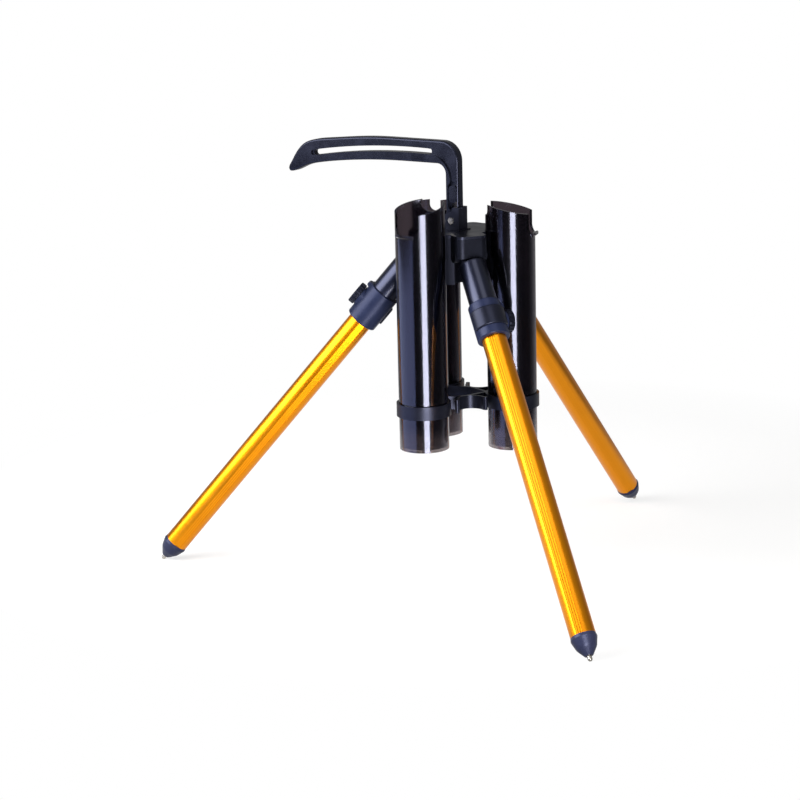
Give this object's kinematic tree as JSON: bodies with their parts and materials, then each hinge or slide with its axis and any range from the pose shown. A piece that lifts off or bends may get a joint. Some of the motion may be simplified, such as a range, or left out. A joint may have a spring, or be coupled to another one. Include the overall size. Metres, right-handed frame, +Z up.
{
  "type": "fishing rod stand",
  "caption": "Folding tripod that holds fishing rods upright in open smoke-coloured tubes round a moulded hub, with telescopic legs, clamp knobs and a fold-down carrying handle.",
  "frame": {"origin": "on the ground, under the middle of the hub", "axes": "+Z up, +X towards the right rod tube, -X towards the left leg"},
  "size_m": [0.4856, 0.556, 0.4444],
  "materials": {
    "smoke_tube": "smoke-tinted clear tube",
    "dark_plastic": "satin moulded",
    "dark_tube": "dark anodised satin",
    "gold_tube": "gold anodised satin",
    "steel": "plated",
    "nylon": "plain"
  },
  "bodies": {
    "head": {"hub_body": "dark_plastic", "hub_cap": "dark_plastic", "cap_screws": "steel", "tube_screws": "steel", "handle_fork": "dark_plastic", "handle_pin": "steel", "front_left_rod_tube": "smoke_tube", "right_rod_tube": "smoke_tube", "back_rod_tube": "smoke_tube", "lower_bracket": "dark_plastic", "left_leg_hinge_pin": "steel", "front_leg_hinge_pin": "steel", "rear_leg_hinge_pin": "steel"},
    "handle": {"handle_arm": "dark_plastic"},
    "lock": {"lock_slider": "dark_plastic"},
    "left_leg": {"left_leg_knuckle": "dark_plastic", "left_upper_tube": "dark_tube", "left_collar": "dark_plastic", "left_clamp_strap": "dark_plastic", "left_clamp_pad": "nylon"},
    "left_lower_leg": {"left_lower_tube": "gold_tube", "left_guide_bush": "dark_plastic", "left_foot_cone": "dark_plastic", "left_foot_spike": "steel"},
    "left_knob": {"left_clamp_knob": "dark_plastic", "left_clamp_screw": "steel"},
    "front_leg": {"front_leg_knuckle": "dark_plastic", "front_upper_tube": "dark_tube", "front_collar": "dark_plastic", "front_clamp_strap": "dark_plastic", "front_clamp_pad": "nylon"},
    "front_lower_leg": {"front_lower_tube": "gold_tube", "front_guide_bush": "dark_plastic", "front_foot_cone": "dark_plastic", "front_foot_spike": "steel"},
    "front_knob": {"front_clamp_knob": "dark_plastic", "front_clamp_screw": "steel"},
    "rear_leg": {"rear_leg_knuckle": "dark_plastic", "rear_upper_tube": "dark_tube", "rear_collar": "dark_plastic", "rear_clamp_strap": "dark_plastic", "rear_clamp_pad": "nylon"},
    "rear_lower_leg": {"rear_lower_tube": "gold_tube", "rear_guide_bush": "dark_plastic", "rear_foot_cone": "dark_plastic", "rear_foot_spike": "steel"},
    "rear_knob": {"rear_clamp_knob": "dark_plastic", "rear_clamp_screw": "steel"}
  },
  "joints": [
    {"name": "left_leg_fold", "type": "hinge", "parent": "head", "child": "left_leg", "pos_m": [-0.036, 0, 0.3347], "axis": [0, -1, 0], "range_deg": [0, 40.34]},
    {"name": "left_leg_slide", "type": "slide", "parent": "left_leg", "child": "left_lower_leg", "axis": [0.6473, 0, 0.7622], "range_m": [0, 0.04]},
    {"name": "left_knob_turn", "type": "hinge", "parent": "left_leg", "child": "left_knob", "pos_m": [-0.08591, 0, 0.27594], "axis": [-0.7622, 0, 0.6473], "range_deg": [0, 270]},
    {"name": "front_leg_fold", "type": "hinge", "parent": "head", "child": "front_leg", "pos_m": [0.018, -0.03118, 0.3347], "axis": [0.866, 0.5, 0], "range_deg": [0, 40.34]},
    {"name": "front_leg_slide", "type": "slide", "parent": "front_leg", "child": "front_lower_leg", "axis": [-0.3237, 0.5606, 0.7622], "range_m": [0, 0.04]},
    {"name": "front_knob_turn", "type": "hinge", "parent": "front_leg", "child": "front_knob", "pos_m": [0.04295, -0.0744, 0.27594], "axis": [0.8295, 0.5556, -0.0564], "range_deg": [0, 270]},
    {"name": "rear_leg_fold", "type": "hinge", "parent": "head", "child": "rear_leg", "pos_m": [0.018, 0.03118, 0.3347], "axis": [-0.866, 0.5, 0], "range_deg": [0, 40.34]},
    {"name": "rear_leg_slide", "type": "slide", "parent": "rear_leg", "child": "rear_lower_leg", "axis": [-0.3237, -0.5606, 0.7622], "range_m": [0, 0.04]},
    {"name": "rear_knob_turn", "type": "hinge", "parent": "rear_leg", "child": "rear_knob", "pos_m": [0.04295, 0.0744, 0.27594], "axis": [0.3811, 0.6601, 0.6473], "range_deg": [0, 270]},
    {"name": "handle_fold", "type": "hinge", "parent": "head", "child": "handle", "pos_m": [0, 0, 0.365], "axis": [-0.4226, -0.9063, 0], "range_deg": [0, 86]},
    {"name": "lock_slide", "type": "slide", "parent": "handle", "child": "lock", "axis": [0, 0, -1], "range_m": [0, 0.007]}
  ]
}
